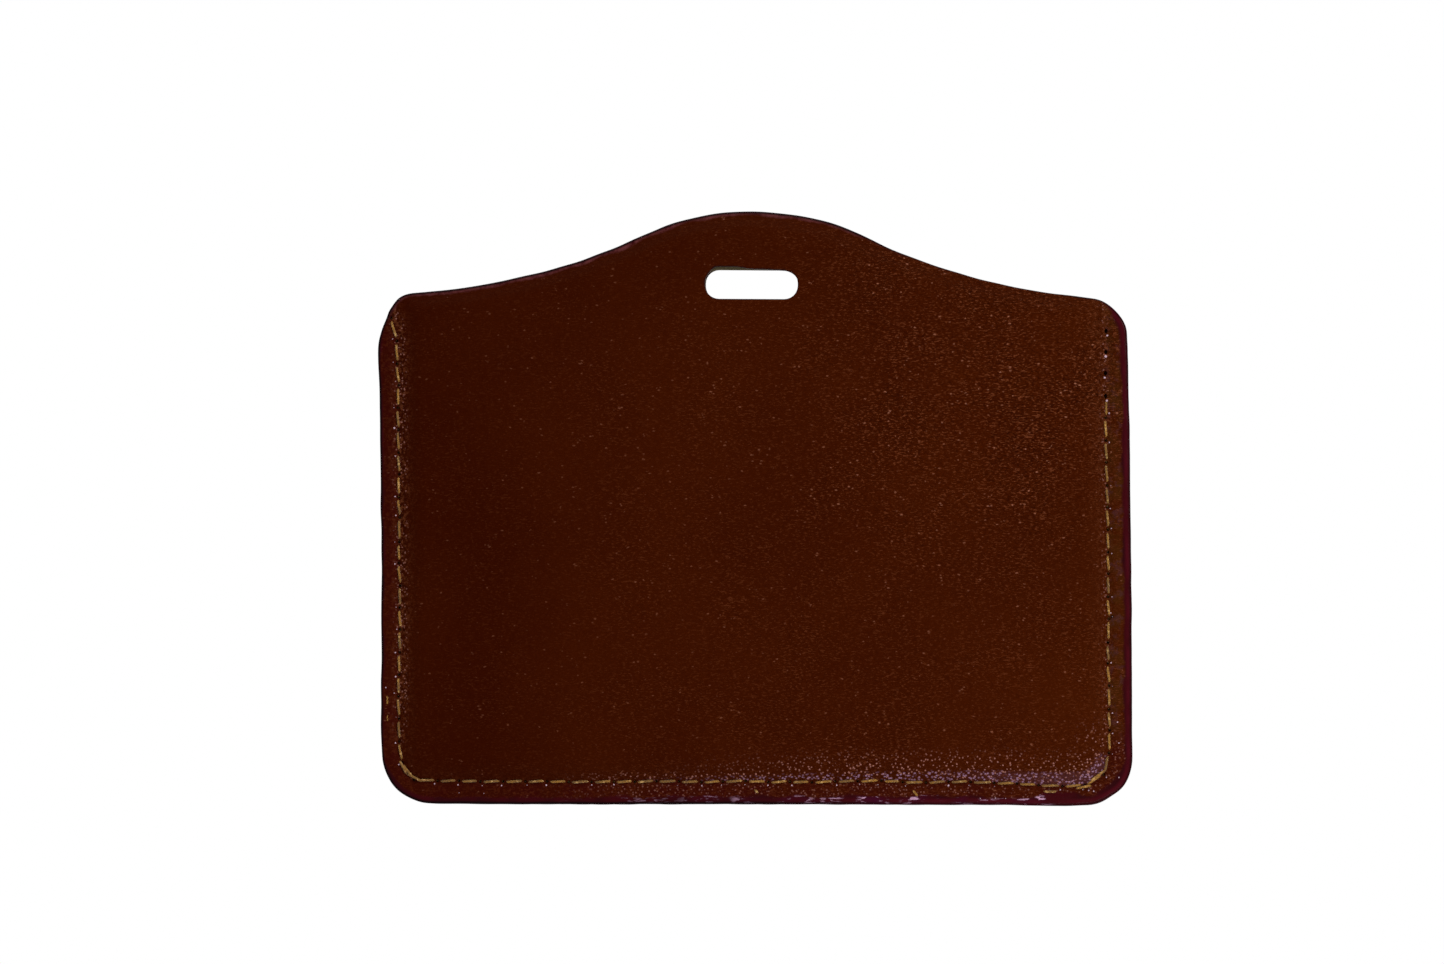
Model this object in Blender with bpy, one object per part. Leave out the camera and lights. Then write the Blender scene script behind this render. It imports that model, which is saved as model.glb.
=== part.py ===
"""A leather badge holder with a humped top, a punched slot and a clear window.

Metres, +Z up. The origin is the centre of the punched slot, halfway through the hump.
The plain leather face looks along -Y, and the window looks along +Y. From the plain face
to the window the layers are: back panel, stiffener board, pocket lining, blank card,
window sheet and window frame. Two threads sew the three leather layers together down the
left side, along the bottom and up the right side, so the pocket is open at the top.
"""

from math import atan2, ceil, cos, pi, radians, sin, sqrt, tan

import bmesh
import bpy
from mathutils import Vector

MM = 0.001

# The outline of the leather, as cut
WIDTH = 105.0 * MM
SLOT_TO_CROWN = 10.1 * MM
SLOT_TO_BOTTOM = 72.7 * MM
CROWN_RADIUS = 36.8 * MM
FLANK_ANGLE = radians(25)
FLARE_RADIUS = 89.0 * MM
TOP_CORNER_RADIUS = 5.2 * MM
BOTTOM_CORNER_RADIUS = 6.5 * MM
INNER_CORNER_SHARE = 0.3

# The punched slot for a strap clip
SLOT_WIDTH = 13.0 * MM
SLOT_HEIGHT = 4.2 * MM
SLOT_CORNER_RADIUS = 1.5 * MM

# The sheets, from the plain face to the window
BACK_THICKNESS = 1.2 * MM
BOARD_THICKNESS = 0.6 * MM
LINING_THICKNESS = 0.5 * MM
CARD_THICKNESS = 0.5 * MM
FILM_THICKNESS = 0.3 * MM
FRAME_THICKNESS = 1.2 * MM
GLUE_LINE = 0.1 * MM
POCKET_DEPTH = 1.1 * MM

# The back panel is raised over the board and pressed flat where it is sewn and at the top
TOP_BAND = 1.0 * MM
BACK_SLOPE = 1.6 * MM
BOARD_CLEARANCE = 0.5 * MM

# The window frame is raised over the card and pressed flat where it is sewn
FRAME_SLOPE = 1.7 * MM
MOUTH_BELOW_SLOT = 1.9 * MM
MOUTH_CORNER_RADIUS = 2.0 * MM
SIDE_RAIL = 11.0 * MM
BOTTOM_RAIL = 11.0 * MM
NOTCH_TO_WINDOW = 5.5 * MM
WINDOW_CORNER_RADIUS = 3.0 * MM
NOTCH_DEPTH = 7.0 * MM
NOTCH_RADIUS = 10.0 * MM
NOTCH_LIP_RADIUS = 3.0 * MM

# The window sheet is glued to the back of the frame, inside its raised part
FILM_CLEARANCE = 1.0 * MM
FILM_TOP_LAP = 3.5 * MM
FILM_CORNER_RADIUS = 1.5 * MM

# The blank card
CARD_SIDE_CLEARANCE = 1.5 * MM
CARD_SEAT_CLEARANCE = 0.3 * MM
CARD_BELOW_MOUTH = 2.9 * MM
CARD_CORNER_RADIUS = 3.0 * MM

# The seam
SEAM_INSET = 3.0 * MM
SEAM_BELOW_MOUTH = 1.6 * MM
SEAM_MARGIN = 0.5 * MM
STITCH_PITCH = 3.12 * MM
THREAD_RADIUS = 0.22 * MM
THREAD_GAP = 0.12 * MM
THREAD_SEAT = 0.08 * MM
THREAD_BEND = 0.24 * MM
HOLE_CLEARANCE = 0.09 * MM
HOLE_SLANT = radians(37)
EMPTY_HOLES = 4

# Cut edges and cutting tools
LEATHER_EDGE = 0.45 * MM
LINING_EDGE = 0.15 * MM
CUT_OVERRUN = 5.0 * MM

# How finely arcs are divided
CROWN_STEPS = 8
FLARE_STEPS = 6
CORNER_STEPS = 5
NOTCH_STEPS = 8
PATH_STEPS = 24
SLOPE_STEPS = 3

# The two threads lie side by side in each needle hole, which is a diamond around them
THREAD_OFFSET = THREAD_RADIUS + THREAD_GAP / 2
HOLE_ACROSS = THREAD_OFFSET + (THREAD_RADIUS + HOLE_CLEARANCE) / sin(HOLE_SLANT)
HOLE_ALONG = HOLE_ACROSS * tan(HOLE_SLANT)
SEAM_BAND = SEAM_INSET + HOLE_ACROSS + SEAM_MARGIN

# Places across the thickness, worked out from the sheets
HUMP_THICKNESS = BACK_THICKNESS + BOARD_THICKNESS + LINING_THICKNESS + 2 * GLUE_LINE
BACK_FIELD_Y = (BACK_THICKNESS - HUMP_THICKNESS) / 2
BACK_RIM_Y = BACK_FIELD_Y + BOARD_THICKNESS + GLUE_LINE
BOARD_Y = BACK_FIELD_Y + (BACK_THICKNESS + BOARD_THICKNESS) / 2 + GLUE_LINE
LINING_Y = (HUMP_THICKNESS - LINING_THICKNESS) / 2
POCKET_BACK_Y = HUMP_THICKNESS / 2
CARD_Y = POCKET_BACK_Y + POCKET_DEPTH / 2
FILM_Y = POCKET_BACK_Y + POCKET_DEPTH + FILM_THICKNESS / 2
FRAME_FIELD_Y = FILM_Y + FILM_THICKNESS / 2 + GLUE_LINE + FRAME_THICKNESS / 2
FRAME_RIM_Y = POCKET_BACK_Y + GLUE_LINE + FRAME_THICKNESS / 2

# Places up the height, worked out from the outline
BOTTOM_Z = -SLOT_TO_BOTTOM
MOUTH_Z = -SLOT_HEIGHT / 2 - MOUTH_BELOW_SLOT
WINDOW_TOP_Z = MOUTH_Z - NOTCH_DEPTH - NOTCH_TO_WINDOW
WINDOW_BOTTOM_Z = BOTTOM_Z + BOTTOM_RAIL


def clear_scene():
    for thing in list(bpy.data.objects):
        bpy.data.objects.remove(thing)


def material(name, colour, roughness, metallic=0.0, alpha=1.0):
    made = bpy.data.materials.new(name)
    made.use_nodes = True
    shader = made.node_tree.nodes["Principled BSDF"]
    shader.inputs["Base Color"].default_value = (*colour, 1.0)
    shader.inputs["Roughness"].default_value = roughness
    shader.inputs["Metallic"].default_value = metallic
    shader.inputs["Alpha"].default_value = alpha
    return made


def arc(centre, radius, start, end, steps):
    """Points on an arc about centre, from angle start to angle end."""
    turns = [start + (end - start) * i / steps for i in range(steps + 1)]
    return [centre + radius * Vector((cos(a), sin(a))) for a in turns]


def inner_radius(radius, inset):
    """The radius of a corner after an inset, kept round where the inset is deep."""
    return max(radius - inset, radius * INNER_CORNER_SHARE)


def right_top(side, top):
    """The hump's right half, from the middle of the crown to the side, after insets."""
    normal = Vector((sin(FLANK_ANGLE), cos(FLANK_ANGLE)))
    crown_centre = Vector((0.0, SLOT_TO_CROWN - CROWN_RADIUS))
    flare_centre = crown_centre + (CROWN_RADIUS + FLARE_RADIUS) * normal
    flare_radius = FLARE_RADIUS + top
    corner_radius = inner_radius(TOP_CORNER_RADIUS, max(side, top))
    corner_x = WIDTH / 2 - side - corner_radius
    reach = flare_radius + corner_radius
    corner_z = flare_centre.y - sqrt(reach**2 - (flare_centre.x - corner_x) ** 2)
    corner_centre = Vector((corner_x, corner_z))
    to_flare = flare_centre - corner_centre
    meeting = atan2(to_flare.y, to_flare.x)
    crown = arc(crown_centre, CROWN_RADIUS - top, pi / 2, pi / 2 - FLANK_ANGLE, CROWN_STEPS)
    flare = arc(flare_centre, flare_radius, -pi / 2 - FLANK_ANGLE, meeting - pi, FLARE_STEPS)
    corner = arc(corner_centre, corner_radius, meeting, 0.0, CORNER_STEPS)
    return crown + flare[1:] + corner[1:]


def right_bottom(side, bottom, steps=CORNER_STEPS):
    """The bottom right corner, from the side to the bottom edge, after insets."""
    radius = inner_radius(BOTTOM_CORNER_RADIUS, max(side, bottom))
    centre = Vector((WIDTH / 2 - side - radius, BOTTOM_Z + bottom + radius))
    return arc(centre, radius, 0.0, -pi / 2, steps)


def mirrored(points):
    """The points' mirror image, in the opposite order."""
    return [Vector((-p.x, p.y)) for p in reversed(points)]


def holder_outline(side=0.0, bottom=0.0, top=0.0):
    """The closed outline of the whole holder, moved in by an inset on each side."""
    right = right_top(side, top) + right_bottom(side, bottom)
    return right + mirrored(right[1:])


def down_and_up(right):
    """Down the left side, along the bottom and up the right side, from its right half."""
    upward = list(reversed(right))
    return mirrored(upward) + upward


def seam_path():
    """The line of the needle holes, a little way in from the edge and below the mouth."""
    top = Vector((WIDTH / 2 - SEAM_INSET, MOUTH_Z - SEAM_BELOW_MOUTH))
    return down_and_up([top] + right_bottom(SEAM_INSET, SEAM_INSET, PATH_STEPS))


def frame_path(inset):
    """The frame's sides and bottom after an inset. The cut edge is round at the mouth."""
    if inset:
        drops = [SEAM_BAND * i / CORNER_STEPS for i in range(CORNER_STEPS + 1)]
        corner = [Vector((WIDTH / 2 - inset, MOUTH_Z - drop)) for drop in drops]
    else:
        centre = Vector((WIDTH / 2 - MOUTH_CORNER_RADIUS, MOUTH_Z - MOUTH_CORNER_RADIUS))
        corner = arc(centre, MOUTH_CORNER_RADIUS, pi / 2, 0.0, CORNER_STEPS)
    return down_and_up(corner + right_bottom(inset, inset))


def mouth_line():
    """The frame's mouth from right to left, with a thumb notch in the middle."""
    notch_centre = Vector((0.0, MOUTH_Z - NOTCH_DEPTH + NOTCH_RADIUS))
    lip_z = MOUTH_Z - NOTCH_LIP_RADIUS
    reach = NOTCH_RADIUS + NOTCH_LIP_RADIUS
    lip_x = sqrt(reach**2 - (notch_centre.y - lip_z) ** 2)
    lip_centre = Vector((lip_x, lip_z))
    toward = lip_centre - notch_centre
    meeting = atan2(toward.y, toward.x)
    notch = arc(notch_centre, NOTCH_RADIUS, -pi / 2, meeting, NOTCH_STEPS)
    lip = arc(lip_centre, NOTCH_LIP_RADIUS, meeting + pi, pi / 2, CORNER_STEPS)
    right = notch + lip[1:]
    return list(reversed(mirrored(right) + right[1:]))


def rounded_rectangle(centre_x, low_z, high_z, width, radius):
    """A closed outline with four equal round corners."""
    half = width / 2 - radius
    corners = (
        (half, high_z - radius, pi / 2),
        (half, low_z + radius, 0.0),
        (-half, low_z + radius, -pi / 2),
        (-half, high_z - radius, -pi),
    )
    found = []
    for x, z, start in corners:
        found += arc(Vector((centre_x + x, z)), radius, start, start - pi / 2, CORNER_STEPS)
    return found


def add_object(name, mesh, finish):
    made = bpy.data.objects.new(name, mesh)
    if finish:
        made.data.materials.append(finish)
    bpy.context.scene.collection.objects.link(made)
    return made


def finish_mesh(name, bm):
    bmesh.ops.recalc_face_normals(bm, faces=bm.faces)
    mesh = bpy.data.meshes.new(name)
    bm.to_mesh(mesh)
    bm.free()
    return mesh


def pressed_slope(outline_at, run, low_y, high_y):
    """Nested outlines down a slope that eases in and out, as leather pressed over an edge."""
    found = []
    for i in range(SLOPE_STEPS + 1):
        share = i / SLOPE_STEPS
        eased = share * share * (3 - 2 * share)
        found.append((outline_at(run * share), low_y + (high_y - low_y) * eased))
    return found


def pressed_sheet(name, loops, thickness, finish, mouth=()):
    """A sheet of even thickness over nested outlines, each at its own height in Y.

    The innermost outline is filled. A mouth is the open edge that joins its two ends.
    """
    bm = bmesh.new()
    rings = [[bm.verts.new((p.x, y, p.y)) for p in points] for points, y in loops]
    for outer, inner in zip(rings, rings[1:]):
        for i in range(len(outer) - 1 if mouth else len(outer)):
            j = (i + 1) % len(outer)
            bm.faces.new((outer[i], outer[j], inner[j], inner[i]))
    inner_y = loops[-1][1]
    bm.faces.new(rings[-1] + [bm.verts.new((p.x, inner_y, p.y)) for p in mouth])
    made = add_object(name, finish_mesh(name, bm), finish)
    thicken = made.modifiers.new("Thickness", "SOLIDIFY")
    thicken.thickness = thickness
    thicken.offset = 0.0
    thicken.use_even_offset = True
    return made


def cutter(name, outlines):
    """Prisms along Y through the whole holder, one for each outline."""
    bm = bmesh.new()
    for points in outlines:
        low = [bm.verts.new((p.x, BACK_FIELD_Y - CUT_OVERRUN, p.y)) for p in points]
        high = [bm.verts.new((p.x, FRAME_FIELD_Y + CUT_OVERRUN, p.y)) for p in points]
        bm.faces.new(low)
        bm.faces.new(list(reversed(high)))
        for i in range(len(points)):
            j = (i + 1) % len(points)
            bm.faces.new((low[i], high[i], high[j], low[j]))
    made = add_object(name, finish_mesh(name, bm), None)
    made.hide_render = True
    made.display_type = "WIRE"
    return made


def cut(sheet, tool):
    step = sheet.modifiers.new("Cut " + tool.name, "BOOLEAN")
    step.operation = "DIFFERENCE"
    step.solver = "EXACT"
    step.object = tool


def round_edges(sheet, width, segments):
    """Rounds the cut edges and leaves the pressed slopes as they are."""
    step = sheet.modifiers.new("Rounded edges", "BEVEL")
    step.width = width
    step.segments = segments
    step.limit_method = "ANGLE"
    step.angle_limit = radians(60)


def spaced(path, pitch):
    """Places at an even pitch along a path, each with its direction and outward side."""
    lengths = [0.0]
    for a, b in zip(path, path[1:]):
        lengths.append(lengths[-1] + (b - a).length)
    total = lengths[-1]
    count = ceil(total / pitch)
    found, k = [], 0
    for i in range(count + 1):
        at = total * i / count
        while k < len(path) - 2 and lengths[k + 1] < at:
            k += 1
        step = path[k + 1] - path[k]
        along = step.normalized()
        place = path[k] + along * (at - lengths[k])
        found.append((place, along, Vector((along.y, -along.x))))
    return found


def seam_places():
    """Every needle hole, from the top of the left side round to the top of the right."""
    return spaced(seam_path(), STITCH_PITCH)


def hole_outlines(places):
    """A diamond for each needle hole, its long way across the seam."""
    found = []
    for place, along, outward in places:
        found.append(
            [
                place + HOLE_ACROSS * outward,
                place + HOLE_ALONG * along,
                place - HOLE_ACROSS * outward,
                place - HOLE_ALONG * along,
            ]
        )
    return found


def thread_points(places, odd):
    """One thread of a saddle stitch: over the plain face, through, over the other face.

    The two threads change sides in the same holes, and each keeps to its own side there.
    """
    lift = THREAD_SEAT + THREAD_RADIUS
    plain_y = BACK_RIM_Y - BACK_THICKNESS / 2 - lift
    window_y = FRAME_RIM_Y + FRAME_THICKNESS / 2 + lift
    found = []
    for i, (place, along, outward) in enumerate(places):
        leaves_plain = i % 2 == odd
        across = THREAD_OFFSET if leaves_plain else -THREAD_OFFSET
        spot = place + across * outward
        out_y, in_y = (plain_y, window_y) if leaves_plain else (window_y, plain_y)
        turn = THREAD_BEND if out_y > in_y else -THREAD_BEND
        before, after = spot - THREAD_BEND * along, spot + THREAD_BEND * along
        if i > 0:
            found.append((before.x, in_y, before.y))
        found.append((spot.x, in_y + turn, spot.y))
        found.append((spot.x, out_y - turn, spot.y))
        if i < len(places) - 1:
            found.append((after.x, out_y, after.y))
    return found


def thread(name, points, finish):
    """An unbroken round thread along the given points."""
    curve = bpy.data.curves.new(name, "CURVE")
    curve.dimensions = "3D"
    curve.bevel_depth = THREAD_RADIUS
    curve.bevel_resolution = 1
    curve.use_fill_caps = True
    line = curve.splines.new("POLY")
    line.points.add(len(points) - 1)
    for knot, place in zip(line.points, points):
        knot.co = (*place, 1.0)
    return add_object(name, curve, finish)


def back_panel(finish, slot, holes):
    """The plain leather face, raised over the board inside it."""

    def outline_at(run):
        return holder_outline(SEAM_BAND + run, SEAM_BAND + run, TOP_BAND + run)

    loops = [(holder_outline(), BACK_RIM_Y)]
    loops += pressed_slope(outline_at, BACK_SLOPE, BACK_RIM_Y, BACK_FIELD_Y)
    made = pressed_sheet("back_panel", loops, BACK_THICKNESS, finish)
    cut(made, slot)
    round_edges(made, LEATHER_EDGE, 2)
    cut(made, holes)
    return made


def stiffener_board(finish, slot):
    """The pressed-fibre board that keeps the hump and the pocket flat."""
    side = SEAM_BAND + BACK_SLOPE + BOARD_CLEARANCE
    top = TOP_BAND + BACK_SLOPE + BOARD_CLEARANCE
    loops = ((holder_outline(side, side, top), BOARD_Y),)
    made = pressed_sheet("stiffener_board", loops, BOARD_THICKNESS, finish)
    cut(made, slot)
    return made


def pocket_lining(finish, slot, holes):
    """The thin leather behind the card, which also faces the hump on the window side."""
    loops = ((holder_outline(), LINING_Y),)
    made = pressed_sheet("pocket_lining", loops, LINING_THICKNESS, finish)
    cut(made, slot)
    round_edges(made, LINING_EDGE, 1)
    cut(made, holes)
    return made


def window_frame(finish, window, holes):
    """The leather frame, pressed down at the seam and raised over the card."""

    def path_at(run):
        return frame_path(SEAM_BAND + run)

    loops = [(frame_path(0.0), FRAME_RIM_Y)]
    loops += pressed_slope(path_at, FRAME_SLOPE, FRAME_RIM_Y, FRAME_FIELD_Y)
    made = pressed_sheet("window_frame", loops, FRAME_THICKNESS, finish, mouth_line())
    cut(made, window)
    round_edges(made, LEATHER_EDGE, 2)
    cut(made, holes)
    return made


def window_sheet(finish):
    """The clear sheet glued behind the frame's opening."""
    inset = SEAM_BAND + FRAME_SLOPE + FILM_CLEARANCE
    low = BOTTOM_Z + inset
    high = WINDOW_TOP_Z + FILM_TOP_LAP
    width = WIDTH - 2 * inset
    loops = ((rounded_rectangle(0.0, low, high, width, FILM_CORNER_RADIUS), FILM_Y),)
    return pressed_sheet("window_sheet", loops, FILM_THICKNESS, finish)


def slope_inset(front_y):
    """How far in from the edge the frame's inside reaches front_y, on a straight slope."""
    slant = atan2(FRAME_FIELD_Y - FRAME_RIM_Y, FRAME_SLOPE)
    foot_y = FRAME_RIM_Y - FRAME_THICKNESS / 2
    foot = SEAM_BAND + FRAME_THICKNESS / 2 * tan(slant / 2)
    return foot + (front_y - foot_y) / tan(slant)


def blank_card(finish):
    """A plain card the size of the pocket. It slides out at the mouth."""
    low = BOTTOM_Z + slope_inset(CARD_Y + CARD_THICKNESS / 2) + CARD_SEAT_CLEARANCE
    high = MOUTH_Z - CARD_BELOW_MOUTH
    width = WIDTH - 2 * (SEAM_BAND + FRAME_SLOPE + CARD_SIDE_CLEARANCE)
    loops = ((rounded_rectangle(0.0, low, high, width, CARD_CORNER_RADIUS), CARD_Y),)
    return pressed_sheet("blank_card", loops, CARD_THICKNESS, finish)


def build():
    clear_scene()
    leather = material("Brown leather", (0.045, 0.009, 0.002), 0.45)
    skiver = material("Lining leather", (0.05, 0.014, 0.005), 0.6)
    fibre = material("Fibre board", (0.23, 0.16, 0.1), 0.9)
    clear = material("Clear sheet", (0.92, 0.94, 0.95), 0.08, alpha=0.3)
    paper = material("White card", (0.85, 0.85, 0.83), 0.7)
    gold = material("Golden thread", (0.33, 0.17, 0.04), 0.55)

    places = seam_places()
    slot_outline = rounded_rectangle(
        0.0, -SLOT_HEIGHT / 2, SLOT_HEIGHT / 2, SLOT_WIDTH, SLOT_CORNER_RADIUS
    )
    window_outline = rounded_rectangle(
        0.0, WINDOW_BOTTOM_Z, WINDOW_TOP_Z, WIDTH - 2 * SIDE_RAIL, WINDOW_CORNER_RADIUS
    )
    slot = cutter("slot_punch", [slot_outline])
    window = cutter("window_cutter", [window_outline])
    holes = cutter("needle_hole_punch", hole_outlines(places))

    back_panel(leather, slot, holes)
    stiffener_board(fibre, slot)
    pocket_lining(skiver, slot, holes)
    window_frame(leather, window, holes)
    window_sheet(clear)
    blank_card(paper)
    sewn = places[: len(places) - EMPTY_HOLES]
    thread("seam_thread_first", thread_points(sewn, 0), gold)
    thread("seam_thread_second", thread_points(sewn, 1), gold)


build()
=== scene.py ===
"""The looks of a leather badge holder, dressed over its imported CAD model.

Metres, +Z up. The origin is the centre of the punched slot, the plain leather face looks
along -Y and the window along +Y. Shapes are worked out in millimetres in the X-Z plane,
with Y as the place through the thickness, and become metres when a piece is made.
"""

from math import atan2, ceil, cos, pi, radians, sin, sqrt

import bpy
import numpy as np
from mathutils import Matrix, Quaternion, Vector
from mathutils.geometry import delaunay_2d_cdt
from mathutils.kdtree import KDTree


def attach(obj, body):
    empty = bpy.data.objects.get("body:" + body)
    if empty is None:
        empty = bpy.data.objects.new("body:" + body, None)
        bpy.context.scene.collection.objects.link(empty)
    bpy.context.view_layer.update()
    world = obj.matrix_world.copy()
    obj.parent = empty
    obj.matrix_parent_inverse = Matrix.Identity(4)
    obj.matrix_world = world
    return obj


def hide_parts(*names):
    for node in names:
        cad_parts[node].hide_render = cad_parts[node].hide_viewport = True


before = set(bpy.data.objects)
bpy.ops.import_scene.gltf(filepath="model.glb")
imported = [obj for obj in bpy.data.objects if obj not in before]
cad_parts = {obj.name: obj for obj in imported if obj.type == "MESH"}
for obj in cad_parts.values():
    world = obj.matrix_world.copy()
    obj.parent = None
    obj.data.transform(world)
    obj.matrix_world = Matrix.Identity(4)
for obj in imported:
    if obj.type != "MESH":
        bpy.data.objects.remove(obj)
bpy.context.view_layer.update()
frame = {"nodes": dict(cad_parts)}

MM = 0.001

# The pattern of the leather, as in the CAD but for the slot's rounder corners
WIDTH = 105.0
CROWN_Z = 10.1
BOTTOM_Z = -72.7
CROWN_RADIUS = 36.8
FLANK_ANGLE = radians(25)
FLARE_RADIUS = 89.0
TOP_CORNER_RADIUS = 5.2
BOTTOM_CORNER_RADIUS = 6.5
SLOT_WIDTH, SLOT_HEIGHT, SLOT_CORNER_RADIUS = 13.0, 4.2, 1.9
MOUTH_Z = -4.0
MOUTH_CORNER_RADIUS = 2.0
NOTCH_DEPTH, NOTCH_RADIUS, NOTCH_LIP_RADIUS = 7.0, 10.0, 3.0
WINDOW_SIDE, WINDOW_TOP_Z, WINDOW_BOTTOM_Z, WINDOW_CORNER_RADIUS = 41.5, -16.5, -61.7, 3.0

# Places through the thickness: each face of each sheet at the sewn rim and in its field
PLAIN_RIM, PLAIN_FIELD = -0.55, -1.25
PLAIN_INSIDE_RIM, PLAIN_INSIDE_FIELD = 0.70, -0.05
LINING_INSIDE, LINING_OUTSIDE = 0.70, 1.27
FRAME_INSIDE_RIM, FRAME_INSIDE_FIELD = 1.30, 2.75
FRAME_RIM, FRAME_FIELD = 2.55, 3.95

# How far in from the edge the leather is pressed flat, and over how far it then rises
SEWN_BAND, SEWN_RISE = 2.8, 3.5
TOP_BAND, TOP_RISE = 0.3, 2.3
FRAME_BAND, FRAME_RISE = 4.1, 2.3

# The seam, down the left side, along the bottom and up the right side
SEAM_KNOTS = (
    (-50.85, -4.9), (-50.15, -6.9), (-49.9, -13.0), (-49.95, -40.0), (-49.9, -55.0),
    (-50.05, -62.5), (-49.5, -66.9), (-48.5, -68.8), (-45.0, -69.5), (-25.0, -69.65),
    (0.5, -69.6), (20.0, -69.55), (28.4, -69.65), (34.0, -69.75), (39.7, -70.1),
    (44.2, -70.25), (46.2, -70.0), (48.0, -69.1), (49.0, -67.6), (49.35, -65.0),
    (49.35, -60.0), (49.25, -30.0), (49.45, -6.4),
)
STITCH_PITCH = 3.12
EMPTY_HOLES = 4
NEEDLE_ACROSS, NEEDLE_ALONG, SEWN_SHARE = 0.22, 0.36, 0.5
UNEVEN_ALONG, UNEVEN_ACROSS = 0.09, 0.06

# Needle pricks beside the seam, and short stitches sewn over or out of line: their two ends and
# how deep they are drawn in
STRAY_PRICKS = ((-51.6, -57.0), (49.8, -46.6), (50.7, -61.8), (50.9, -64.7))
STRAY_STITCHES = (
    ((-51.6, -57.4), (-51.55, -59.2), 0.14),
    ((-51.6, -59.9), (-51.5, -61.6), 0.17),
    ((40.0, -70.95), (42.3, -71.0), 0.0),
    ((44.6, -70.55), (47.0, -70.1), 0.0),
    ((46.6, -69.6), (48.9, -67.9), 0.0),
    ((-49.85, -66.7), (-48.7, -68.75), 0.0),
    ((-48.9, -68.45), (-46.5, -69.7), 0.0),
    ((22.2, -70.7), (22.9, -71.7), 0.04),
    ((0.4, -70.7), (1.0, -71.2), 0.04),
    ((49.4, -16.2), (49.36, -18.7), 0.25),
)

# Spots on the edge paint with a painted highlight and more gloss: place and reach
PAINTED_SHINE_SPOTS = (
    (50.7, -69.0, 0.26), (47.2, -70.9, 0.26), (46.5, -70.8, 0.24), (-41.4, -71.2, 0.15),
    (-37.9, -71.3, 0.15), (31.5, -71.9, 0.16), (33.6, -71.9, 0.2), (35.0, -71.95, 0.16),
)

# How finely outlines, lines to measure from, the seam, the threads and cut edges are divided,
# and how many waves a swell has
STEP, LINE_STEP, SEAM_STEP, THREAD_STEP = 0.42, 0.06, 0.4, 0.16
BULLNOSE_STEPS, SWELL_WAVES = 4, 14

PALE = (1.0, 1.0, 1.0)


def colour(red, green, blue):
    """A colour given from 0 to 255 as a screen shows it, made linear."""
    shares = (red / 255, green / 255, blue / 255)
    return tuple(s / 12.92 if s <= 0.04045 else ((s + 0.055) / 1.055) ** 2.4 for s in shares)


# Plane curves


def arc(x, z, radius, start, end):
    turn = np.linspace(start, end, 2 + ceil(abs(end - start) * radius / STEP))
    return np.column_stack([x + radius * np.cos(turn), z + radius * np.sin(turn)])


def run_lengths(path):
    steps = np.hypot(*np.diff(path, axis=0).T)
    return np.concatenate([[0.0], np.cumsum(steps)])


def places_at(at, lengths, path):
    """The points on a path at these lengths along it."""
    return np.column_stack([np.interp(at, lengths, path[:, k]) for k in (0, 1)])


def to_right(along):
    """Each direction, turned a quarter to the right."""
    return np.column_stack([along[:, 1], -along[:, 0]])


def tree_of(points):
    """A tree of points in the plane, to find the nearest in."""
    tree = KDTree(len(points))
    for k, (x, z) in enumerate(points):
        tree.insert((x, z, 0.0), k)
    tree.balance()
    return tree


def evenly(path, step, closed=False):
    """The path again, with points an even step apart."""
    if closed:
        path = np.vstack([path, path[:1]])
    lengths = run_lengths(path)
    count = max(3, round(lengths[-1] / step))
    at = np.linspace(0, lengths[-1], count + 1)
    found = places_at(at, lengths, path)
    return found[:-1] if closed else found


def mirrored(path):
    return path[::-1] * (-1, 1)


def outward(loop):
    """The side of a closed loop away from the leather, to the right of its direction."""
    along = np.roll(loop, -1, axis=0) - np.roll(loop, 1, axis=0)
    along /= np.hypot(*along.T)[:, None]
    return to_right(along)


def smooth(value, low, high):
    """From 0 at low to 1 at high, easing in and out."""
    share = np.clip((value - low) / (high - low), 0, 1)
    return share * share * (3 - 2 * share)


def curved(knots, step):
    """A smooth line through the knots, with points about a step apart."""
    ends = np.vstack([2 * knots[0] - knots[1], knots, 2 * knots[-1] - knots[-2]])
    found = []
    for a, b, c, d in zip(ends, ends[1:], ends[2:], ends[3:]):
        count = max(2, ceil(np.linalg.norm(c - b) / step))
        t = (np.arange(count) / count)[:, None]
        found.append(
            0.5 * (2 * b + (c - a) * t + (2 * a - 5 * b + 4 * c - d) * t**2
                   + (3 * b - a - 3 * c + d) * t**3)
        )
    return np.vstack(found + [knots[-1:]])


class Line:
    """A line to measure from: how far points lie from it, and where along it."""

    def __init__(self, path, closed=False):
        if closed:
            path = np.vstack([path, path[:1]])
        lengths = run_lengths(path)
        self.total = lengths[-1]
        self.at = np.linspace(0, self.total, ceil(self.total / LINE_STEP))
        self.knots = places_at(self.at, lengths, path)
        along = np.gradient(self.knots, axis=0)
        self.away = to_right(along) / np.hypot(*along.T)[:, None]
        self.tree = tree_of(self.knots)

    def nearest(self, points):
        found = [self.tree.find((x, z, 0.0)) for x, z in points.tolist()]
        return np.array([f[1] for f in found]), np.array([f[2] for f in found])

    def gap(self, points):
        return self.nearest(points)[1]

    def outside(self, points):
        """Distance to the right, away from the leather, and less than 0 to the left."""
        near, _ = self.nearest(points)
        return ((points - self.knots[near]) * self.away[near]).sum(1)


def ripple(at, total, shortest, longest, seed):
    """A wavering line round a closed edge, about one unit high, the same on every run."""
    chance = np.random.default_rng(seed)
    waves = np.arange(max(1, ceil(total / longest)), ceil(total / shortest) + 1)
    turns, sizes = chance.uniform(0, 2 * pi, len(waves)), chance.normal(0, 1, len(waves))
    found = (sizes[:, None] * np.sin(2 * pi * np.outer(waves, at) / total + turns[:, None])).sum(0)
    return found / sqrt(len(waves) / 2)


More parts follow.
